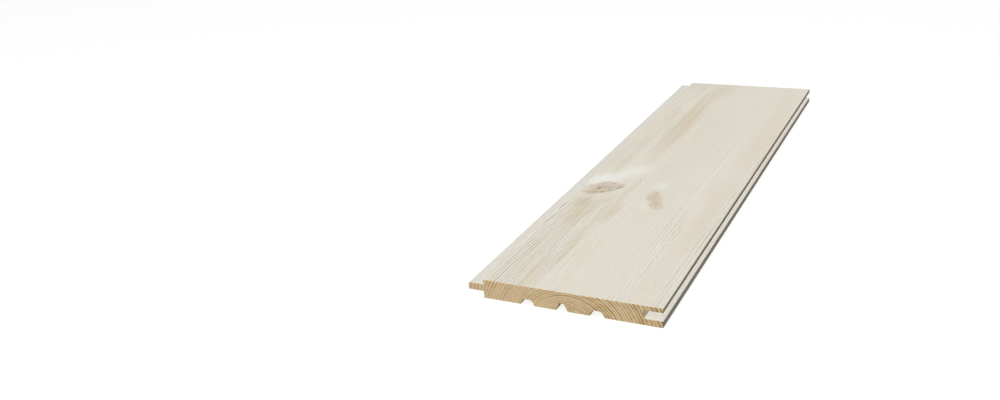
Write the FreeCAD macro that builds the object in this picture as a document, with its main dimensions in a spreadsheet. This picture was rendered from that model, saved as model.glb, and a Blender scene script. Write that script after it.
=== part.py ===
# Tongue and groove panelling board: one planed strip of softwood, lying on its back.
# X runs across the board from the tongue to the groove, Y along the grain and Z up through
# the thickness. The origin is in the plane of the back, in the middle of the board's outline.
import FreeCAD, Part
import os

import Sketcher
from FreeCAD import Vector

NODE = "tongue_and_groove_board"

# Driving dimensions in millimetres: alias, value, what it measures.
SIZES = (
    ("board_length", 442.0, "along the grain, from saw cut to saw cut"),
    ("cover_width", 110.0, "face that shows once the board is laid"),
    ("board_thickness", 12.0, "from the back to the face"),
    ("tongue_length", 10.0, "how far the tongue stands out from its shoulders"),
    ("tongue_thickness", 4.4, "from the underside of the tongue to its top"),
    ("tongue_drop", 3.1, "from the face down to the top of the tongue"),
    ("side_clearance", 0.4, "room in the groove above and below a tongue"),
    ("tip_clearance", 1.0, "room in the groove past the tip of a tongue"),
    ("relief_spacing", 21.6, "from the middle relief groove to each outer one"),
    ("outer_relief_mouth", 9.0, "width of an outer relief groove at the back"),
    ("outer_relief_root", 5.2, "width of its flat root, before rounding"),
    ("outer_relief_depth", 3.7, "from the back to that root"),
    ("outer_root_radius", 2.3, "rounding of that root's two corners"),
    ("middle_relief_mouth", 7.2, "width of the middle relief groove at the back"),
    ("middle_relief_root", 2.8, "width of its flat root, before rounding"),
    ("middle_relief_depth", 4.6, "from the back to that root"),
    ("middle_root_radius", 0.7, "rounding of that root's two corners"),
    ("face_arris_radius", 0.4, "eased long edges of the face"),
    ("back_arris_radius", 0.3, "eased long edges of the back"),
    ("tongue_arris_radius", 0.7, "eased edges of the tongue's tip"),
)

# Places across the section, worked out from the driving dimensions.
OVERALL_WIDTH = "(Sizes.cover_width + Sizes.tongue_length)"
TONGUE_TIP = f"(-{OVERALL_WIDTH} / 2)"
TONGUE_TOP = "(Sizes.board_thickness - Sizes.tongue_drop)"
TONGUE_UNDERSIDE = f"({TONGUE_TOP} - Sizes.tongue_thickness)"
GROOVE_DEPTH = "(Sizes.tongue_length + Sizes.tip_clearance)"
GROOVE_BACK = f"({OVERALL_WIDTH} / 2 - {GROOVE_DEPTH})"
GROOVE_FLOOR = f"({TONGUE_UNDERSIDE} - Sizes.side_clearance)"
GROOVE_HEIGHT = "(Sizes.tongue_thickness + 2 * Sizes.side_clearance)"
CENTRE_LINE = "0"
BACK = "0"

ORIGIN = (-1, 1)  # a sketch's own origin, given as every point is: by curve and point number
START, END = 1, 2  # the point numbers of a line's two ends
ON_EDGE = 0.001  # how near a corner of the section lies to the edge that runs through it


def make_sheet(doc):
    sheet = doc.addObject("Spreadsheet::Sheet", "Sizes")
    for row, (alias, size, meaning) in enumerate(SIZES, start=1):
        sheet.set(f"A{row}", meaning)
        sheet.set(f"B{row}", str(size))
        sheet.setAlias(f"B{row}", alias)
    doc.recompute()


def origin_plane(body, role):
    return next(feature for feature in body.Origin.OriginFeatures if feature.Role == role)


def section_sketch(body, name):
    # Sketches lie in the section at mid length: their x is the board's X and their y its Z.
    sketch = body.newObject("Sketcher::SketchObject", name)
    sketch.AttachmentSupport = [(origin_plane(body, "XZ_Plane"), "")]
    sketch.MapMode = "FlatFace"
    return sketch


def bind(sketch, name, kind, start, end, expression):
    # Dimensions the rough drawing from one point to another, then ties that to the sizes.
    span = sketch.getPoint(*end) - sketch.getPoint(*start)
    drawn = span.x if kind == "DistanceX" else span.y
    index = sketch.addConstraint(Sketcher.Constraint(kind, *start, *end, drawn))
    sketch.renameConstraint(index, name)
    sketch.setExpression(f"Constraints.{name}", expression)


def closed_outline(sketch, corners):
    # Draws straight lines from corner to corner and returns their numbers in that order.
    points = [Vector(x, z) for x, z in corners]
    following = points[1:] + points[:1]
    lines = [sketch.addGeometry(Part.LineSegment(*ends)) for ends in zip(points, following)]
    for line, after in zip(lines, lines[1:] + lines[:1]):
        sketch.addConstraint(Sketcher.Constraint("Coincident", line, END, after, START))
    return lines


def draw_rectangle(sketch, label, left, bottom, width, height):
    # Drawn a millimetre square, then stretched into place by its four dimensions.
    low, right, high, side = closed_outline(sketch, [(0, 0), (1, 0), (1, 1), (0, 1)])
    for line in (low, high):
        sketch.addConstraint(Sketcher.Constraint("Horizontal", line))
    for line in (right, side):
        sketch.addConstraint(Sketcher.Constraint("Vertical", line))
    bind(sketch, f"{label}_left", "DistanceX", ORIGIN, (low, START), left)
    bind(sketch, f"{label}_bottom", "DistanceY", ORIGIN, (low, START), bottom)
    bind(sketch, f"{label}_width", "DistanceX", (low, START), (low, END), width)
    bind(sketch, f"{label}_height", "DistanceY", (right, START), (right, END), height)
    return low, high


def draw_relief(sketch, centre, relief):
    # A trapezium that opens at the back, about a centre line that stands on the back.
    mouth, _, root, _ = closed_outline(sketch, [(-2, 0), (2, 0), (1, 1), (-1, 1)])
    middle = sketch.addGeometry(Part.LineSegment(Vector(0, 0), Vector(0, 1)), True)
    sketch.addConstraint(Sketcher.Constraint("Vertical", middle))
    sketch.addConstraint(Sketcher.Constraint("PointOnObject", middle, START, -1))
    for line, foot in ((mouth, START), (root, END)):
        sketch.addConstraint(Sketcher.Constraint("Horizontal", line))
        sketch.addConstraint(Sketcher.Constraint("Symmetric", line, START, line, END, middle, foot))
    bind(sketch, "centre", "DistanceX", ORIGIN, (middle, START), centre)
    bind(sketch, "mouth", "DistanceX", (mouth, START), (mouth, END), f"Sizes.{relief}_mouth")
    bind(sketch, "root", "DistanceX", (root, END), (root, START), f"Sizes.{relief}_root")
    bind(sketch, "depth", "DistanceY", (middle, START), (middle, END), f"Sizes.{relief}_depth")
    return root


def corner(sketch, line, end):
    # Where an end of a line lies in the section, once its sketch is solved.
    point = sketch.getPoint(line, end)
    return point.x, point.y


def long_edges(shape, corners):
    # Names of the edges that run the length of the board through these corners of its section.
    names = []
    for x, z in corners:
        vertex = Part.Vertex(x, 0, z)
        found = [
            f"Edge{number}"
            for number, edge in enumerate(shape.Edges, start=1)
            if edge.distToShape(vertex)[0] < ON_EDGE
        ]
        if len(found) != 1:
            raise RuntimeError(f"{len(found)} edges run through x {x}, z {z}")
        names += found
    return names


def round_edges(body, name, radius, corners):
    base = body.Tip
    fillet = body.newObject("PartDesign::Fillet", name)
    fillet.Base = (base, long_edges(base.Shape, corners))
    fillet.setExpression("Radius", f"Sizes.{radius}")
    body.Document.recompute()


def pad_blank(body):
    sketch = section_sketch(body, "BlankSection")
    low, high = draw_rectangle(sketch, "blank", TONGUE_TIP, BACK, OVERALL_WIDTH, "Sizes.board_thickness")
    blank = body.newObject("PartDesign::Pad", "Blank")
    blank.Profile = sketch
    blank.SideType = "Symmetric"
    blank.setExpression("Length", "Sizes.board_length")
    body.Document.recompute()
    return {"face": corner(sketch, high, START), "back": corner(sketch, low, END)}


def cut_through(body, name, sketch):
    # Planes the sketched section away over the whole length, and makes sure that it did.
    before = body.Shape.Volume
    cut = body.newObject("PartDesign::Pocket", name)
    cut.Profile = sketch
    cut.Type = "ThroughAll"
    cut.SideType = "Symmetric"
    body.Document.recompute()
    if body.Shape.Volume >= before:
        raise RuntimeError(f"{name} cut nothing away")
    return cut


def cut_tongue(body):
    # A rebate above and one below leave the tongue standing between them.
    sketch = section_sketch(body, "TongueRebates")
    top, face = draw_rectangle(
        sketch, "upper", TONGUE_TIP, TONGUE_TOP, "Sizes.tongue_length", "Sizes.tongue_drop"
    )
    back, underside = draw_rectangle(
        sketch, "lower", TONGUE_TIP, BACK, "Sizes.tongue_length", TONGUE_UNDERSIDE
    )
    cut_through(body, "Tongue", sketch)
    return {
        "face": corner(sketch, face, START),
        "back": corner(sketch, back, END),
        "tip": [corner(sketch, top, START), corner(sketch, underside, END)],
    }


def cut_groove(body):
    # It takes a neighbour's tongue with room on all three sides.
    sketch = section_sketch(body, "GrooveSection")
    draw_rectangle(sketch, "groove", GROOVE_BACK, GROOVE_FLOOR, GROOVE_DEPTH, GROOVE_HEIGHT)
    cut_through(body, "Groove", sketch)


def cut_reliefs(body):
    # Three grooves in the back stop the board from cupping: a deep narrow one in the middle
    # and a wider one on each side of it.
    middle = section_sketch(body, "MiddleReliefSection")
    root = draw_relief(middle, CENTRE_LINE, "middle_relief")
    cut_through(body, "MiddleRelief", middle)
    middle_roots = [corner(middle, root, end) for end in (START, END)]

    outer = section_sketch(body, "OuterReliefSection")
    root = draw_relief(outer, "Sizes.relief_spacing", "outer_relief")
    right = cut_through(body, "OuterRelief", outer)
    right_roots = [corner(outer, root, end) for end in (START, END)]
    left_roots = [(-x, z) for x, z in right_roots]

    pair = body.newObject("PartDesign::Mirrored", "OuterReliefPair")
    pair.Originals = [right]
    pair.MirrorPlane = (origin_plane(body, "YZ_Plane"), [""])
    body.Tip = pair
    body.Document.recompute()

    round_edges(body, "MiddleReliefRoot", "middle_root_radius", middle_roots)
    round_edges(body, "OuterReliefRoots", "outer_root_radius", left_roots + right_roots)


def make_board(doc):
    body = doc.addObject("PartDesign::Body", "Board")
    body.Label = NODE
    groove_side = pad_blank(body)
    tongue_side = cut_tongue(body)
    cut_groove(body)
    cut_reliefs(body)
    round_edges(body, "FaceArrises", "face_arris_radius", [tongue_side["face"], groove_side["face"]])
    round_edges(body, "BackArrises", "back_arris_radius", [tongue_side["back"], groove_side["back"]])
    round_edges(body, "TongueArrises", "tongue_arris_radius", tongue_side["tip"])
    return body


def check(doc, board):
    failed = [made.Label for made in doc.Objects if {"Invalid", "Error"} & set(made.State)]
    if failed:
        raise RuntimeError(f"failed to build: {', '.join(failed)}")
    if board.Shape.isNull() or not board.Shape.isValid() or len(board.Shape.Solids) != 1:
        raise RuntimeError(f"{board.Label} is not one valid solid")


def main():
    doc = FreeCAD.newDocument("TongueAndGrooveBoard")
    make_sheet(doc)
    board = make_board(doc)
    doc.recompute()
    check(doc, board)
    os.makedirs("parts", exist_ok=True)
    board.Shape.exportStep(f"parts/{board.Label}.step")
    box = board.Shape.BoundBox
    print(f"{board.Label}: {box.XLength:.2f} x {box.YLength:.2f} x {box.ZLength:.2f} mm")
    print(f"volume {board.Shape.Volume:.0f} mm3, {len(board.Shape.Faces)} faces")


main()
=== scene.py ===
import math

import bmesh
import bpy
from mathutils import Color, Matrix, Vector


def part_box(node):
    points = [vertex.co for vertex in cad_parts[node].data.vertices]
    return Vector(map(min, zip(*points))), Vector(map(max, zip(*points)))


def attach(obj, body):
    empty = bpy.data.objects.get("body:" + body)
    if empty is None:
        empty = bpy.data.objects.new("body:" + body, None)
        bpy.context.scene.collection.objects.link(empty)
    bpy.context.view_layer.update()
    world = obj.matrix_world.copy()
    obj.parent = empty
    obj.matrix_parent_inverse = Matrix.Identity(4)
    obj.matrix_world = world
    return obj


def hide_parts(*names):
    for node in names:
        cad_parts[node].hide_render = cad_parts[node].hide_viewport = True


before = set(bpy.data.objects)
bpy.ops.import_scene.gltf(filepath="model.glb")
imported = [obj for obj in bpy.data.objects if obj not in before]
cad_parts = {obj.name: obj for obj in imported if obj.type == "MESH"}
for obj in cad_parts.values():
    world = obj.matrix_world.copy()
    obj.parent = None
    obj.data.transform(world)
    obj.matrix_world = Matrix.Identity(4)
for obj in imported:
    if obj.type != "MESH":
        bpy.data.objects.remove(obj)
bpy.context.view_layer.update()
cadNode = "tongue_and_groove_board"
boardLow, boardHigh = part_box(cadNode)
mm = 0.001
print("board from the frame, mm:", [round(side / mm, 2) for side in boardHigh - boardLow])


# node tree helpers

def paint(red, green, blue):
    # a colour as a screen shows it, made linear for the shaders
    return (*Color((red / 255, green / 255, blue / 255)).from_srgb_to_scene_linear(), 1.0)


def feed(tree, socket, source):
    # a source is another node's output or a plain value
    if isinstance(source, bpy.types.NodeSocket):
        tree.links.new(source, socket)
    else:
        socket.default_value = source


def addNode(tree, kind, *sources, **settings):
    made = tree.nodes.new("ShaderNode" + kind)
    for name, value in settings.items():
        setattr(made, name, value)
    for socket, source in zip(made.inputs, sources):
        feed(tree, socket, source)
    return made


def calc(tree, operation, *sources):
    return addNode(tree, "Math", *sources, operation=operation).outputs[0]


def vectorCalc(tree, operation, *sources):
    made = addNode(tree, "VectorMath", *sources, operation=operation)
    return made.outputs["Value" if operation in ("LENGTH", "DOT_PRODUCT") else "Vector"]


def split(tree, vector):
    return addNode(tree, "SeparateXYZ", vector).outputs


def ease(tree, value, start, end, low=0.0, high=1.0):
    made = addNode(tree, "MapRange", value, start, end, low, high, interpolation_type="SMOOTHSTEP")
    return made.outputs[0]


def cloud(tree, place, name, detail=2.0, roughness=0.5, output=0):
    # soft noise from 0 to 1, with lumps of the named size
    made = addNode(tree, "TexNoise")
    feed(tree, made.inputs["Vector"], vectorCalc(tree, "MULTIPLY", place, lumps[name]))
    made.inputs["Scale"].default_value = 1.0
    made.inputs["Detail"].default_value = detail
    made.inputs["Roughness"].default_value = roughness
    return made.outputs[output]


def vary(tree, noise, low, high, spread=0.2):
    # noise lies mostly within the spread of a half; this stretches it from low to high
    return ease(tree, noise, 0.5 - spread, 0.5 + spread, low, high)


def blend(tree, share, under, over, mode="MIX"):
    made = addNode(tree, "Mix", data_type="RGBA", blend_type=mode)
    for index, source in ((0, share), (6, under), (7, over)):
        feed(tree, made.inputs[index], source)
    return made.outputs[2]


def joinAll(tree, operation, sources):
    total = sources[0]
    for source in sources[1:]:
        total = calc(tree, operation, total, source)
    return total


def addAll(tree, sources):
    return joinAll(tree, "ADD", sources)


def newGroup(name, inputs, outputs):
    group = bpy.data.node_groups.new(name, "ShaderNodeTree")
    sockets = group.interface
    for socketName, kind, value in inputs:
        made = sockets.new_socket(socketName, in_out="INPUT", socket_type="NodeSocket" + kind)
        made.default_value = value
    for socketName, kind in outputs:
        sockets.new_socket(socketName, in_out="OUTPUT", socket_type="NodeSocket" + kind)
    given = group.nodes.new("NodeGroupInput").outputs
    result = group.nodes.new("NodeGroupOutput").inputs
    return group, given, result


def useGroup(tree, group, **sources):
    made = tree.nodes.new("ShaderNodeGroup")
    made.node_tree = group
    for name, source in sources.items():
        feed(tree, made.inputs[name], source)
    return made.outputs


def flat(across, along):
    return (across, along, 0.0)


# the board's section in mm, within the box that the frame gives

board = {
    "tongueLength": 10.0,
    "tongueThickness": 4.4,
    "tongueDrop": 3.1,       # from the face to the top of the tongue
    "sideClearance": 0.4,    # of the groove, above and below the next board's tongue
    "tipClearance": 1.0,
    "reliefSpacing": 21.6,
    "outerRelief": {"mouth": 9.0, "root": 5.2, "depth": 3.7, "radius": 2.3},
    "middleRelief": {"mouth": 7.2, "root": 2.8, "depth": 4.6, "radius": 0.7},
    "faceArris": 0.4,
    "backArris": 0.3,
    "tongueArris": 0.7,
    "sawnArris": 0.15,
    "roundSteps": 6,         # faces in each eased corner
    "smoothUnder": 0.6,      # narrower faces are shaded as round
}


# the pine itself: places are mm across from the tongue's shoulder, mm along from the front
# end and mm up from the face, so depth is negative

pine = {
    "pithAcross": 51.0,
    "pithDepth": 29.5,
    "lopsided": 0.1,       # rings are this much wider towards the groove
    "firstRings": 0.7,     # mm between the rings at the pith
    "ringGrowth": 0.025,   # mm by which they widen for each mm outwards
    "uneven": 0.45,        # rings by which the good and bad years shift a ring
    "spells": 0.3,         # of good and bad years for each ring
    "lateWoodRise": (0.25, 0.8),    # where in a ring the late wood begins and is darkest,
    "lateWoodEnd": (1.0, 0.9),      # and how sharply it ends
    "yearRange": (0.1, 0.7),        # of the draw that makes a year's line faint or bold
    "yearStrength": (0.5, 1.1),
    "patchRange": (0.3, 0.62),      # the same for the noise along the board
    "patchStrength": (0.5, 1.05),
    "slope": 0.02,         # mm across for each mm along
    "wander": 3.6,         # mm that the grain strays along the board,
    "ripple": 0.9,         # and in short waves
    "earlyWood": paint(222, 199, 159),
    "lateWood": paint(146, 114, 62),
    "heartWood": paint(226, 214, 186),   # these two tint the sawn end by multiplying
    "sapWood": paint(251, 250, 250),
    "knotWood": paint(198, 163, 112),
    "knotRim": paint(150, 108, 62),
    "knotCore": paint(96, 66, 40),
    "knotRings": 5.0,      # from the heart of a knot to its rim
    "knotRingRange": (-0.6, 1.0),   # of the wave that draws them
    "knotRingTone": 0.25,  # how far these rings take on the rim's colour
    "knotMottle": 0.6,     # and the mottling between them
    "knotStray": 4.0,      # mm within which the outline of a knot wanders
    "knotEdge": 0.65,      # softness of the outline and of the marks
    "markEdge": 0.85,
    "rimInside": (0.9, 0.5),    # the rim sets in as the knot fades between these,
    "rimOutside": (0.1, 0.4),   # ends between these
    "rimGaps": (0.45, 0.65),    # and breaks off where its noise is low
    "rimDark": 0.5,
    "coarseShare": 0.7,     # of the fibre; the rest is fine
    "fibreTone": (0.85, 1.08),
    "lateWoodHeight": 0.6,  # against the fibre, for the bump
    "markDepth": 1.5,
}

# lumps of noise to a millimetre across the board, along it and through it
lumps = {
    "grainStray": (0.02, 0.006, 0.02),
    "grainRipple": (0.12, 0.025, 0.12),
    "ringPatches": (0.12, 0.016, 0.25),
    "coarseFibre": (0.7, 0.012, 0.7),
    "fineFibre": (3.0, 0.05, 3.0),
    "knotOutline": (0.25, 0.25, 0.25),
    "knotRim": (0.3, 0.3, 0.3),
    "knotMottle": (0.35, 0.35, 0.35),
    "coatDrift": (0.05, 0.012, 0.05),
    "coatHue": (0.045, 0.012, 0.045),
    "brushMarks": (0.9, 0.012, 0.9),
    "resinDashes": (1.1, 0.16, 1.1),
    "fineGrain": (1.4, 0.14, 1.4),
    "patchStreaks": (0.8, 0.012, 0.8),
    "lineBreaks": (0.8, 0.17, 0.8),
    "endPatches": (0.3, 0.3, 0.3),
    "toolMarks": (0.08, 0.08, 0.08),
}

# a knot is cut as a few lobes: centre, radii, turn; its own rings lie round its heart, and it
# leans with depth, because its branch grew out of the pith
knots = {
    "eye": {
        "lobes": [
            ((17.5, 159.5), (15.0, 10.0), 42.0),
            ((11.0, 150.5), (9.5, 8.0), 15.0),
            ((16.5, 167.0), (8.0, 6.5), 0.0),
            ((25.0, 164.5), (8.0, 3.6), 55.0),
            ((11.5, 157.5), (8.5, 10.0), -50.0),
            ((12.5, 163.5), (7.0, 6.0), 30.0),
        ],
        "heart": ((14.5, 157.5), (14.0, 8.0), 42.0),
        "lean": (1.2, 0.9),
    },
    "spike": {
        "lobes": [
            ((55.9, 152.0), (6.8, 15.6), 19.0),
            ((59.6, 143.3), (5.8, 14.0), 20.0),
            ((61.2, 138.2), (6.0, 12.5), 20.0),
        ],
        "heart": ((59.4, 146.5), (5.5, 20.0), 20.0),
        "lean": (-0.3, 3.4),
    },
}

# dark marks in the knots, such as the cut pith of the branch and bark in its rim:
# knot, centre, radii, turn, strength
knotMarks = [
    ("eye", (13.2, 157.0), (2.5, 3.7), -15.0, 1.0),
    ("eye", (10.6, 155.6), (2.6, 1.6), 10.0, 0.4),
    ("eye", (17.2, 159.8), (6.0, 1.8), 18.0, 0.9),
    ("eye", (20.6, 158.0), (1.3, 2.8), 10.0, 0.45),
    ("eye", (27.0, 161.6), (1.8, 6.5), -29.0, 0.9),
    ("eye", (22.0, 154.0), (1.7, 5.5), -46.0, 0.8),
    ("eye", (17.9, 150.6), (3.6, 2.4), 20.0, 0.95),
    ("eye", (21.3, 168.6), (4.6, 1.2), 3.0, 0.6),
    ("eye", (4.6, 147.4), (1.6, 2.6), 0.0, 0.45),
    ("eye", (6.0, 160.6), (1.8, 2.2), 20.0, 0.5),
    ("spike", (55.5, 161.0), (1.6, 1.8), 0.0, 0.8),
    ("spike", (60.7, 140.1), (2.0, 2.6), -20.0, 0.75),
    ("spike", (58.6, 143.0), (1.2, 3.2), 12.0, 0.35),
    ("spike", (52.8, 148.0), (1.4, 5.6), 20.0, 0.55),
    ("spike", (57.9, 136.4), (1.3, 5.0), 26.0, 0.5),
    ("spike", (66.2, 138.0), (1.2, 2.0), 0.0, 0.35),
]

# where the grain is pushed sideways by a knot: centre, spread, push in mm
grainBows = [
    ((6.0, 136.0), (8.0, 48.0), 4.5),
    ((6.0, 190.0), (7.0, 20.0), 2.5),
    ((32.0, 160.0), (7.0, 32.0), 3.0),
    ((52.0, 150.0), (6.0, 26.0), -2.0),
    ((67.0, 144.0), (6.0, 30.0), 2.5),
]


placeInput = ("Place", "Vector", (0, 0, 0))


def buildBoardPlace():
    inputs = [("Object", "Vector", (0, 0, 0))]
    group, given, result = newGroup("boardPlace", inputs, [("Place", "Vector")])
    corner = (boardLow.x + board["tongueLength"] * mm, boardLow.y, boardHigh.z)
    offset = vectorCalc(group, "SUBTRACT", given["Object"], corner)
    feed(group, result["Place"], vectorCalc(group, "DIVIDE", offset, (mm, mm, mm)))
    return group


def buildSoftSpot():
    # an ellipse on the face that carries on through the board, shifted by its lean
    inputs = [
        placeInput,
        ("Centre", "Vector", (0, 0, 0)),
        ("Radii", "Vector", (1, 1, 1)),
        ("Lean", "Vector", (0, 0, 0)),
        ("Turn", "Float", 0.0),
        ("Edge", "Float", 0.5),
    ]
    group, given, result = newGroup("softSpot", inputs, [("Mask", "Float"), ("Reach", "Float")])
    shift = addNode(group, "VectorMath", given["Lean"], operation="SCALE")
    feed(group, shift.inputs["Scale"], split(group, given["Place"])["Z"])
    upright = vectorCalc(group, "ADD", given["Place"], shift.outputs["Vector"])
    offset = vectorCalc(group, "SUBTRACT", upright, given["Centre"])
    turned = addNode(group, "VectorRotate", offset, rotation_type="Z_AXIS")
    feed(group, turned.inputs["Angle"], calc(group, "MULTIPLY", given["Turn"], -1.0))
    scaled = vectorCalc(group, "DIVIDE", turned.outputs[0], given["Radii"])
    reach = vectorCalc(group, "LENGTH", vectorCalc(group, "MULTIPLY", scaled, (1, 1, 0)))
    core = calc(group, "SUBTRACT", 1.0, given["Edge"])
    feed(group, result["Mask"], ease(group, reach, 1.0, core))
    feed(group, result["Reach"], reach)
    return group


def buildGrainBow():
    # how far the rings are pushed sideways beside one knot
    inputs = [
        placeInput,
        ("Centre", "Vector", (0, 0, 0)),
        ("Spread", "Vector", (1, 1, 1)),
        ("Push", "Float", 1.0),
    ]
    group, given, result = newGroup("grainBow", inputs, [("Shift", "Float")])
    offset = vectorCalc(group, "SUBTRACT", given["Place"], given["Centre"])
    scaled = vectorCalc(group, "DIVIDE", offset, given["Spread"])
    onFlat = vectorCalc(group, "MULTIPLY", scaled, (1, 1, 0))
    square = vectorCalc(group, "DOT_PRODUCT", onFlat, onFlat)
    fade = calc(group, "EXPONENT", calc(group, "MULTIPLY", square, -1.0))
    feed(group, result["Shift"], calc(group, "MULTIPLY", fade, given["Push"]))
    return group


def ringProfile(tree, rings):
    # pale early wood that darkens slowly to late wood, then stops short at the next ring
    phase = calc(tree, "FRACT", rings)
    rise = ease(tree, phase, *pine["lateWoodRise"])
    fall = ease(tree, phase, *pine["lateWoodEnd"])
    return calc(tree, "MULTIPLY", rise, fall)


def spotNode(tree, place, centre, radii, turn=0.0, lean=(0.0, 0.0), edge=0.5, output="Mask"):
    return useGroup(
        tree, softSpot, Place=place, Centre=flat(*centre), Radii=(*radii, 1.0),
        Lean=flat(*lean), Turn=math.radians(turn), Edge=edge,
    )[output]


def buildGrowthRings():
    inputs = [placeInput, ("Sharpness", "Float", 1.0)]
    group, given, result = newGroup("growthRings", inputs, [("LateWood", "Float")])
    place = given["Place"]
    across, along, up = split(group, place)
    bows = [
        useGroup(
            group, grainBow, Place=place, Centre=flat(*centre), Spread=(*spread, 1.0), Push=push,
        )["Shift"]
        for centre, spread, push in grainBows
    ]
    stray = calc(group, "SUBTRACT", cloud(group, place, "grainStray", 1.0), 0.5)
    ripple = calc(group, "SUBTRACT", cloud(group, place, "grainRipple", 1.0), 0.5)
    moves = bows + [
        calc(group, "MULTIPLY", along, pine["slope"]),
        calc(group, "MULTIPLY", stray, pine["wander"]),
        calc(group, "MULTIPLY", ripple, pine["ripple"]),
    ]
    straight = calc(group, "SUBTRACT", across, addAll(group, moves))
    side = calc(group, "SUBTRACT", straight, pine["pithAcross"])
    rise = calc(group, "ADD", up, pine["pithDepth"])
    squares = [calc(group, "POWER", part, 2.0) for part in (side, rise)]
    radius = calc(group, "SQRT", addAll(group, squares))
    lean = calc(group, "MULTIPLY", calc(group, "DIVIDE", side, radius), pine["lopsided"])
    even = calc(group, "DIVIDE", radius, calc(group, "ADD", lean, 1.0))

    # each ring is a little wider than the one inside it, so their count grows as a logarithm
    width = calc(group, "MULTIPLY_ADD", even, pine["ringGrowth"], pine["firstRings"])
    count = calc(group, "DIVIDE", calc(group, "LOGARITHM", width, math.e), pine["ringGrowth"])
    years = addNode(group, "TexNoise", noise_dimensions="1D")
    feed(group, years.inputs["W"], calc(group, "MULTIPLY", count, pine["spells"]))
    years.inputs["Scale"].default_value = 1.0
    count = calc(group, "MULTIPLY_ADD", years.outputs[0], 2 * pine["uneven"], count)
    year = addNode(group, "TexWhiteNoise", noise_dimensions="1D")
    feed(group, year.inputs["W"], calc(group, "FLOOR", count))
    draw = year.outputs["Value"]
    strength = ease(group, draw, *pine["yearRange"], *pine["yearStrength"])
    patches = cloud(group, place, "ringPatches", 1.0)
    patchy = ease(group, patches, *pine["patchRange"], *pine["patchStrength"])
    line = calc(group, "POWER", ringProfile(group, count), given["Sharpness"])
    feed(group, result["LateWood"], joinAll(group, "MULTIPLY", [line, strength, patchy]))
    return group


def buildWoodFibre():
    # fine streaks along the grain, which are pores on a sawn end
    group, given, result = newGroup("woodFibre", [placeInput], [("Fibre", "Float")])
    coarse = cloud(group, given["Place"], "coarseFibre", 3.0, 0.6)
    fine = cloud(group, given["Place"], "fineFibre", 2.0, 0.6)
    feed(group, result["Fibre"], addAll(group, [
        calc(group, "MULTIPLY", coarse, pine["coarseShare"]),
        calc(group, "MULTIPLY", fine, 1 - pine["coarseShare"]),
    ]))
    return group


def buildBranchKnots():
    outputs = [(name, "Float") for name in ("Knot", "Rim", "Ring", "Mark")]
    group, given, result = newGroup("branchKnots", [placeInput], outputs)
    ragged = cloud(group, given["Place"], "knotOutline", 3.0, output="Color")
    centred = vectorCalc(group, "SUBTRACT", ragged, (0.5, 0.5, 0.5))
    stray = vectorCalc(group, "MULTIPLY", centred, flat(pine["knotStray"], pine["knotStray"]))
    place = vectorCalc(group, "ADD", given["Place"], stray)
    lobes = []
    hearts = []
    for knot in knots.values():
        for lobe in knot["lobes"]:
            lobes.append(spotNode(group, place, *lobe, knot["lean"], pine["knotEdge"]))
        hearts.append(spotNode(group, place, *knot["heart"], knot["lean"], output="Reach"))
    marks = []
    for owner, centre, radii, turn, strength in knotMarks:
        spot = spotNode(group, place, centre, radii, turn, knots[owner]["lean"], pine["markEdge"])
        marks.append(calc(group, "MULTIPLY", spot, strength))
    whole = joinAll(group, "MAXIMUM", lobes)
    rimParts = [
        ease(group, whole, *pine["rimInside"]),
        ease(group, whole, *pine["rimOutside"]),
        ease(group, cloud(group, given["Place"], "knotRim", 3.0, 0.65), *pine["rimGaps"]),
    ]
    nearest = joinAll(group, "MINIMUM", hearts)
    turns = calc(group, "MULTIPLY", nearest, pine["knotRings"] * math.tau)
    feed(group, result["Knot"], whole)
    feed(group, result["Rim"], joinAll(group, "MULTIPLY", rimParts))
    wave = calc(group, "SINE", turns)
    feed(group, result["Ring"], ease(group, wave, *pine["knotRingRange"]))
    feed(group, result["Mark"], joinAll(group, "MAXIMUM", marks))
    return group


def buildSolidPine():
    inputs = [placeInput, ("LineStrength", "Float", 1.0), ("LineSharpness", "Float", 1.0)]
    outputs = [("Colour", "Color")]
    outputs += [(name, "Float") for name in ("LateWood", "Knot", "Dark", "Height")]
    group, given, result = newGroup("solidPine", inputs, outputs)
    rings = useGroup(group, growthRings, Place=given["Place"], Sharpness=given["LineSharpness"])
    fibre = useGroup(group, woodFibre, Place=given["Place"])["Fibre"]
    knot = useGroup(group, branchKnots, Place=given["Place"])
    clear = calc(group, "SUBTRACT", 1.0, knot["Knot"])
    late = joinAll(group, "MULTIPLY", [rings["LateWood"], given["LineStrength"], clear])
    colour = blend(group, late, pine["earlyWood"], pine["lateWood"])
    mottled = cloud(group, given["Place"], "knotMottle", 3.0, 0.6)
    knotShade = addAll(group, [
        vary(group, mottled, 0.0, pine["knotMottle"], spread=0.15),
        calc(group, "MULTIPLY", knot["Ring"], pine["knotRingTone"]),
    ])
    knotColour = blend(group, knotShade, pine["knotWood"], pine["knotRim"])
    knotColour = blend(group, knot["Rim"], knotColour, pine["knotRim"])
    colour = blend(group, knot["Knot"], colour, knotColour)
    colour = blend(group, knot["Mark"], colour, pine["knotCore"])
    streak = vary(group, fibre, *pine["fibreTone"], spread=0.18)
    colour = blend(group, 1.0, colour, streak, "MULTIPLY")
    feed(group, result["Colour"], colour)
    feed(group, result["LateWood"], late)
    feed(group, result["Knot"], knot["Knot"])
    rimDark = calc(group, "MULTIPLY", knot["Rim"], pine["rimDark"])
    feed(group, result["Dark"], calc(group, "MAXIMUM", knot["Mark"], rimDark))
    feed(group, result["Height"], addAll(group, [
        fibre,
        calc(group, "MULTIPLY", late, pine["lateWoodHeight"]),
        calc(group, "MULTIPLY", knot["Mark"], -pine["markDepth"]),
    ]))
    return group


boardPlace = buildBoardPlace()
softSpot = buildSoftSpot()
grainBow = buildGrainBow()
growthRings = buildGrowthRings()
woodFibre = buildWoodFibre()
branchKnots = buildBranchKnots()
solidPine = buildSolidPine()
print("pine:", len(knots), "knots with", len(knotMarks), "marks")


# the finishes on it

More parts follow.
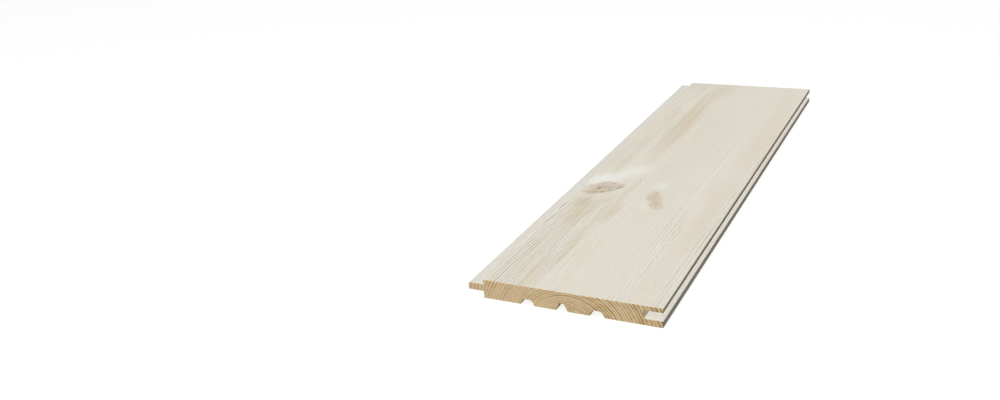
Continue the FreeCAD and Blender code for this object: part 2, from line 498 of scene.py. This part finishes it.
glaze = {
    "coolPigment": paint(226, 227, 217),   # the coat's hue drifts a little between these two
    "warmPigment": paint(229, 226, 218),
    "edgePigment": paint(223, 221, 213),
    "faceCoverage": 0.74,
    "edgeCoverage": 0.93,
    "upperLipCoverage": 0.5,   # the lips beside the groove were planed last
    "lowerLipCoverage": 0.8,
    "drift": 0.05,           # how much the coverage changes from place to place
    "lateWoodLoss": 0.22,    # the hard late wood holds less of the glaze
    "knotLoss": 0.24,
    "darkLoss": 0.4,
    "earlyWoodGain": 0.05,   # and the soft early wood a little more
    "brushMarks": 0.1,       # how much the coverage changes from streak to streak
    "dashLoss": 0.12,        # short resin dashes take less glaze too
    "dashes": (0.66, 0.78),  # only the peaks of their noise
    "fineGrain": 0.035,      # how much lighter or darker the finest grain is
    "patchStreaks": (0.65, 1.3),
    "roughness": 0.55,
    "thinRoughness": 0.7,    # where the coat is thin
    "thinToFull": (0.4, 0.9),
}

# patches on the face where the wood's colour shows through differently, with a painted shade along
# the joint and painted highlights by the knots:
# centre, radii, turn, edge softness, colour, share
facePatches = {
    "leftBeige": ((7, 320), (15, 150), 0, 0.8, paint(226, 215, 196), 0.35),
    "farCorner": ((8, 430), (26, 22), 0, 0.9, paint(211, 198, 181), 0.25),
    "brownBand": ((29.5, 318), (13, 128), 0, 0.75, paint(210, 196, 170), 0.6),
    "brownBandLeft": ((25.0, 350), (3.0, 90), 0, 0.9, paint(203, 186, 158), 0.2),
    "brownBandRight": ((32.5, 320), (3.2, 110), 0, 0.9, paint(203, 185, 156), 0.3),
    "brightLine": ((18.3, 345), (1.4, 80), 0, 0.9, paint(229, 224, 210), 0.5),
    "paleMiddle": ((60, 270), (26, 230), 0, 0.7, paint(219, 216, 201), 0.5),
    "paleLine": ((83.5, 200), (6, 260), 0, 0.9, paint(228, 226, 215), 0.35),
    "rightBeige": ((99, 230), (11, 280), 0, 0.7, paint(219, 209, 191), 0.5),
    "belowKnot": ((13, 75), (13, 85), 0, 0.8, paint(213, 203, 183), 0.35),
    "brownStreakNear": ((31, 60), (4, 80), 0, 0.9, paint(208, 197, 174), 0.45),
    "brownStreakBow": ((35, 155), (4, 45), -2, 0.9, paint(208, 197, 175), 0.5),
    "paleFront": ((65, 40), (26, 65), 0, 0.8, paint(223, 220, 206), 0.4),
    "brownFront": ((25, 12), (7, 50), 0, 0.9, paint(209, 195, 167), 0.5),
    "brownFar": ((36, 428), (16, 62), 0, 0.9, paint(208, 195, 174), 0.4),
    "brownBelow": ((36, 120), (9, 28), 0, 0.9, paint(208, 195, 171), 0.45),
    "brownBeside": ((27.5, 138), (4, 12), -10, 0.9, paint(205, 190, 163), 0.4),
    "warmBelow": ((14, 122), (18, 32), 0, 0.9, paint(219, 206, 181), 0.3),
    # painted shade: darkens the face along the joint at the tongue's shoulder
    "paintedSeamShade": ((3.5, 228), (8, 55), 0, 0.9, paint(208, 200, 184), 0.35),
    "paleUpper": ((84, 206), (28, 42), 0, 0.9, paint(228, 226, 214), 0.45),
    "smear": ((11.5, 130), (9.5, 17), 5, 0.9, paint(199, 184, 155), 0.42),
    "smearBelow": ((14.5, 108), (6.5, 28), 2, 0.9, paint(206, 191, 163), 0.4),
    "pinkBelow": ((10, 142), (13, 5), 0, 0.9, paint(223, 213, 206), 0.55),
    # painted highlight: these three draw a pale sheen sweeping across the curly grain beyond the
    # eye knot
    "paintedSheenRoot": ((5, 169), (12, 12), 30, 0.9, paint(233, 230, 223), 0.85),
    "paintedSheenTail": ((26, 196), (24, 15), 48, 0.9, paint(233, 231, 221), 0.95),
    "paintedSheenMiddle": ((11, 177.5), (22, 14), 42, 0.9, paint(237, 237, 231), 0.95),
    # painted highlight: a pale halo above the spike knot
    "paintedSpikeHighlight": ((54, 173), (7.5, 12), 10, 0.9, paint(231, 229, 219), 0.75),
    "spikePink": ((67, 146), (5, 14), 18, 0.9, paint(226, 217, 205), 0.5),
    "spikeShade": ((57, 150), (9, 22), 16, 0.9, paint(221, 212, 193), 0.4),
    "spikeBelow": ((53.5, 135), (6, 15), 20, 0.9, paint(230, 228, 215), 0.6),
    "tearA": ((25.4, 176.6), (0.6, 6.5), 24, 0.9, paint(192, 184, 170), 0.5),
    "tearB": ((28.6, 174.4), (0.5, 6), 24, 0.9, paint(196, 188, 174), 0.45),
    "tearC": ((36.2, 180), (0.6, 5), 18, 0.9, paint(194, 184, 168), 0.5),
    "tearD": ((38.4, 175), (0.5, 4.5), 18, 0.9, paint(198, 188, 172), 0.4),
    "fleckA": ((67.5, 266), (0.8, 4), 8, 0.8, paint(185, 174, 156), 0.6),
    "fleckB": ((73.5, 257), (0.7, 4.5), 8, 0.8, paint(190, 179, 162), 0.5),
    "fleckC": ((43, 377), (0.7, 3), 5, 0.8, paint(188, 174, 156), 0.5),
    "fleckD": ((73, 70), (0.7, 2), 0, 0.8, paint(200, 190, 172), 0.5),
}

# the same for stains that lie over the knots
knotStains = {
    "eyeGold": ((12.7, 149.0), (8, 6), 20, 0.9, paint(194, 170, 132), 0.6),
    "eyeGrey": ((21, 162.5), (10, 6), 35, 0.9, paint(206, 193, 178), 0.6),
    "eyeLight": ((16.8, 158.5), (3.6, 1.3), 20, 0.8, paint(224, 214, 200), 0.6),
    "eyeCrown": ((17.8, 166.6), (5.5, 3.2), 5, 0.9, paint(224, 214, 204), 0.5),
    "eyePale": ((7.5, 156.5), (6.5, 10), -10, 0.9, paint(219, 208, 195), 0.65),
    "spikePale": ((59.5, 146), (13, 30), 20, 0.3, paint(226, 215, 199), 0.45),
    "spikeTan": ((57.8, 149), (6, 14), 16, 0.9, paint(203, 184, 158), 0.5),
    "spikeLight": ((59.6, 148), (2.4, 8), 16, 0.9, paint(226, 211, 188), 0.55),
    "spikeGrey": ((62.5, 138), (5.5, 10), 20, 0.9, paint(212, 197, 175), 0.45),
    "spikeFade": ((66, 132.5), (5, 9), 20, 0.9, paint(221, 210, 193), 0.5),
}

# where the ring lines read through the glaze: centre, radii, strength
lineZones = [
    ((12, 45), (30, 150), 1.5),
    ((14, 112), (17, 38), 0.7),
    ((34, 122), (11, 42), 0.5),
    ((12, 330), (32, 180), 0.85),
    ((84, 105), (7, 230), 0.9),
    ((106, 190), (6, 300), 0.6),
]


def buildWhiteGlaze():
    inputs = [
        placeInput,
        ("Wood", "Color", pine["earlyWood"]),
        ("Coverage", "Float", 0.8),
        ("LateWood", "Float", 0.0),
        ("Knot", "Float", 0.0),
        ("Dark", "Float", 0.0),
        ("Streaks", "Float", 0.5),
        ("Pigment", "Color", glaze["edgePigment"]),
    ]
    outputs = [("Colour", "Color"), ("Roughness", "Float")]
    group, given, result = newGroup("whiteGlaze", inputs, outputs)
    place = given["Place"]
    drift = cloud(group, place, "coatDrift")
    brushed = cloud(group, place, "brushMarks", 2.0, 0.7)
    streaks = vary(group, brushed, -glaze["brushMarks"], glaze["brushMarks"])
    dashes = cloud(group, place, "resinDashes", 1.0)
    coverage = addAll(group, [
        given["Coverage"],
        calc(group, "MULTIPLY", given["LateWood"], -glaze["lateWoodLoss"]),
        calc(group, "MULTIPLY", given["Knot"], -glaze["knotLoss"]),
        calc(group, "MULTIPLY", given["Dark"], -glaze["darkLoss"]),
        vary(group, drift, -glaze["drift"], glaze["drift"]),
        calc(group, "MULTIPLY", streaks, given["Streaks"]),
        calc(group, "MULTIPLY", given["Streaks"], glaze["earlyWoodGain"]),
        ease(group, dashes, *glaze["dashes"], 0.0, -glaze["dashLoss"]),
    ])
    coated = blend(group, coverage, given["Wood"], given["Pigment"])
    fine = cloud(group, place, "fineGrain")
    grain = vary(group, fine, 1 - glaze["fineGrain"], 1 + glaze["fineGrain"])
    feed(group, result["Colour"], blend(group, 1.0, coated, grain, "MULTIPLY"))
    rough = (glaze["thinRoughness"], glaze["roughness"])
    feed(group, result["Roughness"], ease(group, coverage, *glaze["thinToFull"], *rough))
    return group


def buildToolMarks():
    # shallow ripples left by a saw or a planer, one every pitch along the given direction
    inputs = [placeInput, ("Direction", "Vector", (0, 1, 0)), ("Pitch", "Float", 1.5)]
    group, given, result = newGroup("toolMarks", inputs, [("Mark", "Float")])
    along = vectorCalc(group, "DOT_PRODUCT", given["Place"], given["Direction"])
    uneven = cloud(group, given["Place"], "toolMarks", 1.0)
    turns = calc(group, "ADD", calc(group, "DIVIDE", along, given["Pitch"]), uneven)
    wave = calc(group, "SINE", calc(group, "MULTIPLY", turns, math.tau))
    feed(group, result["Mark"], ease(group, wave, -1.0, 1.0))
    return group


whiteGlaze = buildWhiteGlaze()
toolMarks = buildToolMarks()


def newMaterial(name, finish):
    material = bpy.data.materials.new(name)
    material.use_nodes = True
    tree = material.node_tree
    shader = tree.nodes["Principled BSDF"]
    shader.inputs["Specular IOR Level"].default_value = finish["shine"]
    coords = addNode(tree, "TexCoord").outputs["Object"]
    place = useGroup(tree, boardPlace, Object=coords)["Place"]
    return material, tree, shader, place


def addBump(tree, shader, height, depth):
    bump = addNode(tree, "Bump")
    bump.inputs["Distance"].default_value = depth * mm
    feed(tree, bump.inputs["Height"], height)
    feed(tree, shader.inputs["Normal"], bump.outputs[0])


def addToolMarks(tree, shader, place, wood, finish):
    marks = useGroup(
        tree, toolMarks, Place=place, Direction=finish["markDirection"], Pitch=finish["markPitch"],
    )["Mark"]
    feed(tree, shader.inputs["Roughness"], ease(tree, marks, 0.0, 1.0, *finish["roughness"]))
    ripples = calc(tree, "MULTIPLY", marks, finish["markHeight"])
    addBump(tree, shader, addAll(tree, [wood["Height"], ripples]), finish["bumpDepth"])


def coatOver(tree, place, wood, pigment, coverage, streaks):
    return useGroup(
        tree, whiteGlaze, Place=place, Pigment=pigment, Coverage=coverage, Streaks=streaks,
        Wood=wood["Colour"], LateWood=wood["LateWood"], Knot=wood["Knot"], Dark=wood["Dark"],
    )


def addPatches(tree, place, colour, patches):
    streaks = cloud(tree, place, "patchStreaks", 2.0, 0.7)
    streaky = vary(tree, streaks, *glaze["patchStreaks"])
    for centre, radii, turn, edge, tint, share in patches.values():
        mask = spotNode(tree, place, centre, radii, turn, edge=edge)
        colour = blend(tree, joinAll(tree, "MULTIPLY", [mask, streaky, share]), colour, tint)
    return colour


# for each finish: the shader's specular level, how bold the ring lines are and how deep the
# bump is in mm

glazedFace = {
    "shine": 0.12,
    "lines": 0.15,            # outside the zones
    "lineSharpness": 2.2,
    "lineBreaks": (0.72, 1.15),   # a line fades and grows between these along its way
    "zoneEdge": 0.6,
    "streaks": 0.35,          # brush marks outside the zones
    "bumpDepth": 0.05,
}


def makeGlazedFace():
    material, tree, shader, place = newMaterial("whiteGlazedFace", glazedFace)
    zones = []
    for centre, radii, strength in lineZones:
        spot = spotNode(tree, place, centre, radii, edge=glazedFace["zoneEdge"])
        zones.append(calc(tree, "MULTIPLY", spot, strength))
    lines = addAll(tree, zones + [glazedFace["lines"]])
    breaks = cloud(tree, place, "lineBreaks")
    broken = vary(tree, breaks, *glazedFace["lineBreaks"], spread=0.15)
    shown = calc(tree, "MULTIPLY", lines, broken)
    sharpness = glazedFace["lineSharpness"]
    wood = useGroup(tree, solidPine, Place=place, LineStrength=shown, LineSharpness=sharpness)
    hue = vary(tree, cloud(tree, place, "coatHue", 2.0, 0.6), 0.0, 1.0, spread=0.15)
    pigment = blend(tree, hue, glaze["coolPigment"], glaze["warmPigment"])
    streaks = calc(tree, "ADD", lines, glazedFace["streaks"])
    coat = coatOver(tree, place, wood, pigment, glaze["faceCoverage"], streaks)
    knotted = calc(tree, "MAXIMUM", wood["Knot"], wood["Dark"])
    clearFace = addPatches(tree, place, coat["Colour"], facePatches)
    stainedKnots = addPatches(tree, place, coat["Colour"], knotStains)
    feed(tree, shader.inputs["Base Color"], blend(tree, knotted, clearFace, stainedKnots))
    feed(tree, shader.inputs["Roughness"], coat["Roughness"])
    addBump(tree, shader, wood["Height"], glazedFace["bumpDepth"])
    return material


milledEdge = {
    "shine": 0.0,
    "lines": 0.4,
    "streaks": 0.3,
    "lipHeights": (-7.0, -4.0),   # the lower lip ends and the upper one begins
    "lipStarts": (0.4, 0.1),      # mm in from the outermost edge
    "bumpDepth": 0.01,
}


def makeGlazedEdge():
    material, tree, shader, place = newMaterial("glazedMilledEdge", milledEdge)
    outermost = (boardHigh.x - boardLow.x) / mm - board["tongueLength"]
    starts = [outermost - inwards for inwards in milledEdge["lipStarts"]]
    wood = useGroup(tree, solidPine, Place=place, LineStrength=milledEdge["lines"])
    across, _, up = split(tree, place)
    lips = (glaze["lowerLipCoverage"], glaze["upperLipCoverage"])
    onLips = ease(tree, up, *milledEdge["lipHeights"], *lips)
    coverage = ease(tree, across, *starts, glaze["edgeCoverage"], onLips)
    coat = coatOver(tree, place, wood, glaze["edgePigment"], coverage, milledEdge["streaks"])
    feed(tree, shader.inputs["Base Color"], coat["Colour"])
    feed(tree, shader.inputs["Roughness"], coat["Roughness"])
    addBump(tree, shader, wood["Height"], milledEdge["bumpDepth"])
    return material


# towards the groove the lines are bolder and the wood is redder; the reaches are mm across
sawnEnd = {
    "shine": 0.05,
    "lines": (0.53, 1.0),
    "lineReach": (35.0, 85.0),
    "heartTone": 0.3,
    "heartReach": (85.0, 105.0),
    "sapReach": (60.0, 20.0),
    "patchTone": 0.12,
    "roughness": (0.72, 0.82),
    "markDirection": (0.97, 0.0, 0.24),
    "markPitch": 0.9,
    "markHeight": 0.6,
    "bumpDepth": 0.03,
}


def makeSawnEnd():
    material, tree, shader, place = newMaterial("sawnEndGrain", sawnEnd)
    across = split(tree, place)["X"]
    bold = ease(tree, across, *sawnEnd["lineReach"], *sawnEnd["lines"])
    wood = useGroup(tree, solidPine, Place=place, LineStrength=bold)
    heart = ease(tree, across, *sawnEnd["heartReach"], 0.0, sawnEnd["heartTone"])
    sap = ease(tree, across, *sawnEnd["sapReach"])
    patches = cloud(tree, place, "endPatches", 3.0)
    patchy = vary(tree, patches, 0.0, sawnEnd["patchTone"], spread=0.15)
    redder = calc(tree, "ADD", heart, patchy)
    tinted = blend(tree, redder, wood["Colour"], pine["heartWood"], "MULTIPLY")
    tinted = blend(tree, sap, tinted, pine["sapWood"], "MULTIPLY")
    feed(tree, shader.inputs["Base Color"], tinted)
    addToolMarks(tree, shader, place, wood, sawnEnd)
    return material


planedBack = {
    "shine": 0.08,
    "lines": 0.8,
    "roughness": (0.62, 0.7),
    "markDirection": (0.0, 1.0, 0.0),
    "markPitch": 2.0,
    "markHeight": 0.5,
    "bumpDepth": 0.04,
}


def makePlanedBack():
    material, tree, shader, place = newMaterial("planedBack", planedBack)
    wood = useGroup(tree, solidPine, Place=place, LineStrength=planedBack["lines"])
    feed(tree, shader.inputs["Base Color"], wood["Colour"])
    addToolMarks(tree, shader, place, wood, planedBack)
    return material


finishes = [makeGlazedFace(), makeGlazedEdge(), makeSawnEnd(), makePlanedBack()]
onFace, onEdge, onEnd, onBack = range(len(finishes))
print("finishes:", [finish.name for finish in finishes])


# the board

def sectionCorners():
    # counter-clockwise as the front end shows them: x, z and the radius that eases the corner
    tip, right, face = boardLow.x / mm, boardHigh.x / mm, boardHigh.z / mm
    shoulder = tip + board["tongueLength"]
    tongueTop = face - board["tongueDrop"]
    tongueUnder = tongueTop - board["tongueThickness"]
    grooveBack = right - board["tongueLength"] - board["tipClearance"]
    grooveFloor = tongueUnder - board["sideClearance"]
    grooveRoof = tongueTop + board["sideClearance"]
    corners = [(shoulder, 0.0, board["backArris"])]
    for centre, kind in ((-1, "outerRelief"), (0, "middleRelief"), (1, "outerRelief")):
        relief = board[kind]
        middle = centre * board["reliefSpacing"]
        corners += [
            (middle - relief["mouth"] / 2, 0.0, 0.0),
            (middle - relief["root"] / 2, relief["depth"], relief["radius"]),
            (middle + relief["root"] / 2, relief["depth"], relief["radius"]),
            (middle + relief["mouth"] / 2, 0.0, 0.0),
        ]
    return corners + [
        (right, 0.0, board["backArris"]),
        (right, grooveFloor, 0.0),
        (grooveBack, grooveFloor, 0.0),
        (grooveBack, grooveRoof, 0.0),
        (right, grooveRoof, 0.0),
        (right, face, board["faceArris"]),
        (shoulder, face, board["faceArris"]),
        (shoulder, tongueTop, 0.0),
        (tip, tongueTop, board["tongueArris"]),
        (tip, tongueUnder, board["tongueArris"]),
        (shoulder, tongueUnder, 0.0),
    ]


def easeCorners(bm, outline, corners):
    # on the flat section, one corner at a time
    before = corners[-1:] + corners[:-1]
    after = corners[1:] + corners[:1]
    for vert, last, (x, z, radius), following in zip(outline, before, corners, after):
        if radius:
            into = Vector((x - last[0], z - last[1]))
            out = Vector((following[0] - x, following[1] - z))
            tangent = radius * math.tan(into.angle(out) / 2)
            bmesh.ops.bevel(
                bm, geom=[vert], offset=tangent * mm, offset_type="OFFSET", affect="VERTICES",
                segments=board["roundSteps"], profile=0.5, material=-1,
            )


def isEnd(face):
    return abs(face.normal.y) > 0.3   # the sawn arris too


def finishOf(face):
    middle = face.calc_center_median() / mm
    if isEnd(face):
        return onEnd
    if middle.z > boardHigh.z / mm - board["faceArris"]:
        return onFace
    amongReliefs = abs(middle.x) < board["reliefSpacing"] + board["outerRelief"]["mouth"]
    facesDown = face.normal.z < -0.1 and middle.z < board["backArris"]
    return onBack if amongReliefs or facesDown else onEdge


def goRound(bm):
    # the long faces in order round the section, with the edge each starts from and its width
    length = boardHigh.y - boardLow.y
    longest = {edge for edge in bm.edges if edge.calc_length() > length / 2}
    first = max(bm.faces, key=lambda face: face.calc_area())
    left = min(longest.intersection(first.edges), key=lambda edge: edge.verts[0].co.x)
    face = first
    while True:
        right = next(edge for edge in face.edges if edge in longest and edge != left)
        step = right.verts[0].co - left.verts[0].co
        yield face, left, math.hypot(step.x, step.z)
        face = next(other for other in right.link_faces if other != face)
        left = right
        if face == first:
            return


# the long faces lie side by side on the bake map, above the two ends: room is how much wider
# than life a finish is drawn, and the others are left, foot, width and height
bakeMap = {
    "room": {onFace: 3.0, onEdge: 1.5, onBack: 1.0},
    "finishGap": 2.0,   # mm
    "sides": (0.005, 0.205, 0.99, 0.79),
    "frontEnd": (0.01, 0.01, 0.98, 0.08),
    "farEnd": (0.01, 0.11, 0.98, 0.08),
}


def onMap(area, across, up):
    left, foot, width, height = bakeMap[area]
    return (left + width * across, foot + height * up)


def addBakeMap(bm):
    layer = bm.loops.layers.uv.new("OFBake")
    size = boardHigh - boardLow
    strips = []
    total = 0.0
    for face, left, width in goRound(bm):
        if strips and strips[-1][0].material_index != face.material_index:
            total += bakeMap["finishGap"] * mm
        width *= bakeMap["room"][face.material_index]
        strips.append((face, left, total, width))
        total += width
    for face, left, start, width in strips:
        for loop in face.loops:
            across = start if loop.vert in left.verts else start + width
            along = (loop.vert.co.y - boardLow.y) / size.y
            loop[layer].uv = onMap("sides", across / total, along)
    for face in bm.faces:
        if face.material_index == onEnd:
            for loop in face.loops:
                across = (loop.vert.co.x - boardLow.x) / size.x
                up = (loop.vert.co.z - boardLow.z) / size.z
                if face.normal.y < 0:
                    loop[layer].uv = onMap("frontEnd", across, up)
                else:
                    loop[layer].uv = onMap("farEnd", 1 - across, up)


def putInOrder(parts, placeOf):
    # the operators leave corners and faces in an order that changes from run to run, so they
    # are sorted by place, to a thousandth of a millimetre
    ordered = sorted(parts, key=lambda part: [round(way / mm, 3) for way in placeOf(part)])
    for number, part in enumerate(ordered):
        part.index = number
    parts.sort()


def makeBoard():
    bm = bmesh.new()
    corners = sectionCorners()
    sawn = board["sawnArris"] * mm
    front = boardLow.y + sawn
    outline = [bm.verts.new((x * mm, front, z * mm)) for x, z, _ in corners]
    bm.faces.new(outline)
    easeCorners(bm, outline, corners)
    grown = bmesh.ops.extrude_face_region(bm, geom=bm.faces[:])["geom"]
    farVerts = [item for item in grown if isinstance(item, bmesh.types.BMVert)]
    length = boardHigh.y - boardLow.y - 2 * sawn
    bmesh.ops.translate(bm, vec=(0, length, 0), verts=farVerts)
    bmesh.ops.recalc_face_normals(bm, faces=bm.faces)
    ends = [face for face in bm.faces if isEnd(face)]
    bmesh.ops.inset_region(
        bm, faces=ends, thickness=sawn, depth=sawn, use_even_offset=True, use_boundary=True,
    )
    bm.normal_update()
    putInOrder(bm.verts, lambda vert: vert.co)
    putInOrder(bm.edges, lambda edge: edge.verts[0].co + edge.verts[1].co)
    putInOrder(bm.faces, lambda face: face.calc_center_median())
    for face in bm.faces:
        face.material_index = finishOf(face)
        narrowest = min(edge.calc_length() for edge in face.edges)
        face.smooth = narrowest < board["smoothUnder"] * mm and not isEnd(face)
    addBakeMap(bm)
    mesh = bpy.data.meshes.new("tongueAndGrooveBoard")
    volume = round(bm.calc_volume(signed=True) / mm**3)
    print("board mesh:", len(bm.faces), "faces, volume", volume, "mm3")
    bm.to_mesh(mesh)
    bm.free()
    for finish in finishes:
        mesh.materials.append(finish)
    piece = bpy.data.objects.new("tongueAndGrooveBoard", mesh)
    bpy.context.scene.collection.objects.link(piece)
    return piece


boardPiece = makeBoard()
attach(boardPiece, "root")
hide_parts(cadNode)


# floor, light and camera

stage = {
    "floorSize": 8.0,
    "floorGap": 0.1,             # mm under the board
    "floorColour": 0.85,         # as the camera sees it
    "floorBounce": 0.3,          # as the board sees it, so that its edges stay dark
    "floorGlow": 0.22,
    "floorRoughness": 0.9,
    "skyLevel": 0.19,
    "keyFrom": (-0.29, -0.61, 0.735),
    "keyLevel": 2.9,
    "keyAngle": 20,              # degrees
    "softPlace": (-0.2, -0.8, 1.1),
    "softLevel": 2.4,
    "softSize": 0.8,
}


def seenDirectly(tree):
    # camera, glossy and transmitted rays see the white ground
    path = addNode(tree, "LightPath").outputs
    glossy = calc(tree, "MAXIMUM", path["Is Glossy Ray"], path["Is Transmission Ray"])
    return calc(tree, "MAXIMUM", path["Is Camera Ray"], glossy)


def makeFloor():
    bm = bmesh.new()
    bmesh.ops.create_grid(bm, x_segments=1, y_segments=1, size=stage["floorSize"] / 2)
    bmesh.ops.translate(bm, vec=(0, 0, boardLow.z - stage["floorGap"] * mm), verts=bm.verts)
    mesh = bpy.data.meshes.new("floor")
    bm.to_mesh(mesh)
    bm.free()
    material = bpy.data.materials.new("paleFloor")
    material.use_nodes = True
    tree = material.node_tree
    shader = tree.nodes["Principled BSDF"]
    direct = seenDirectly(tree)
    tones = [(*[stage[tone]] * 3, 1.0) for tone in ("floorBounce", "floorColour")]
    feed(tree, shader.inputs["Base Color"], blend(tree, direct, *tones))
    shader.inputs["Roughness"].default_value = stage["floorRoughness"]
    shader.inputs["Specular IOR Level"].default_value = 0.0
    shader.inputs["Emission Color"].default_value = (1, 1, 1, 1)
    glow = calc(tree, "MULTIPLY", direct, stage["floorGlow"])
    feed(tree, shader.inputs["Emission Strength"], glow)
    mesh.materials.append(material)
    floor = bpy.data.objects.new("floor", mesh)
    bpy.context.scene.collection.objects.link(floor)


def makeSky():
    world = bpy.data.worlds.new("studio")
    world.use_nodes = True
    bpy.context.scene.world = world
    tree = world.node_tree
    background = tree.nodes["Background"]
    background.inputs["Color"].default_value = (1, 1, 1, 1)
    level = ease(tree, seenDirectly(tree), 0.0, 1.0, stage["skyLevel"], 1.0)
    feed(tree, background.inputs["Strength"], level)


def addLamp(name, kind, towards, level):
    lamp = bpy.data.lights.new(name, kind)
    lamp.energy = level
    holder = bpy.data.objects.new(name, lamp)
    holder.rotation_euler = Vector(towards).to_track_quat("Z", "Y").to_euler()
    bpy.context.scene.collection.objects.link(holder)
    return holder


def makeLamps():
    key = addLamp("keyLight", "SUN", stage["keyFrom"], stage["keyLevel"])
    key.data.angle = math.radians(stage["keyAngle"])
    key.data.use_shadow = False
    overhead = addLamp("softBox", "AREA", stage["softPlace"], stage["softLevel"])
    overhead.data.size = stage["softSize"]
    overhead.location = stage["softPlace"]


cameraView = {
    "location": (0.200536, -0.661534, 0.264669),
    "azimuth": 28.072,
    "elevation": 21.837,
    "roll": -4.370,
    "lens": 34.438,
    "sensor": 36.0,
    "nearest": 0.01,
}


def makeCamera():
    camera = bpy.data.cameras.new("photoView")
    camera.sensor_width = cameraView["sensor"]
    camera.lens = cameraView["lens"]
    camera.clip_start = cameraView["nearest"]
    holder = bpy.data.objects.new("photoView", camera)
    turn = Matrix.Rotation(math.radians(cameraView["azimuth"]), 4, "Z")
    tilt = Matrix.Rotation(math.radians(90 - cameraView["elevation"]), 4, "X")
    roll = Matrix.Rotation(math.radians(cameraView["roll"]), 4, "Z")
    holder.matrix_world = Matrix.Translation(cameraView["location"]) @ turn @ tilt @ roll
    bpy.context.scene.collection.objects.link(holder)
    bpy.context.scene.camera = holder


makeFloor()
makeSky()
makeLamps()
makeCamera()
bpy.context.scene.view_settings.view_transform = "Standard"
print("stage: floor, sky, lamps and camera")
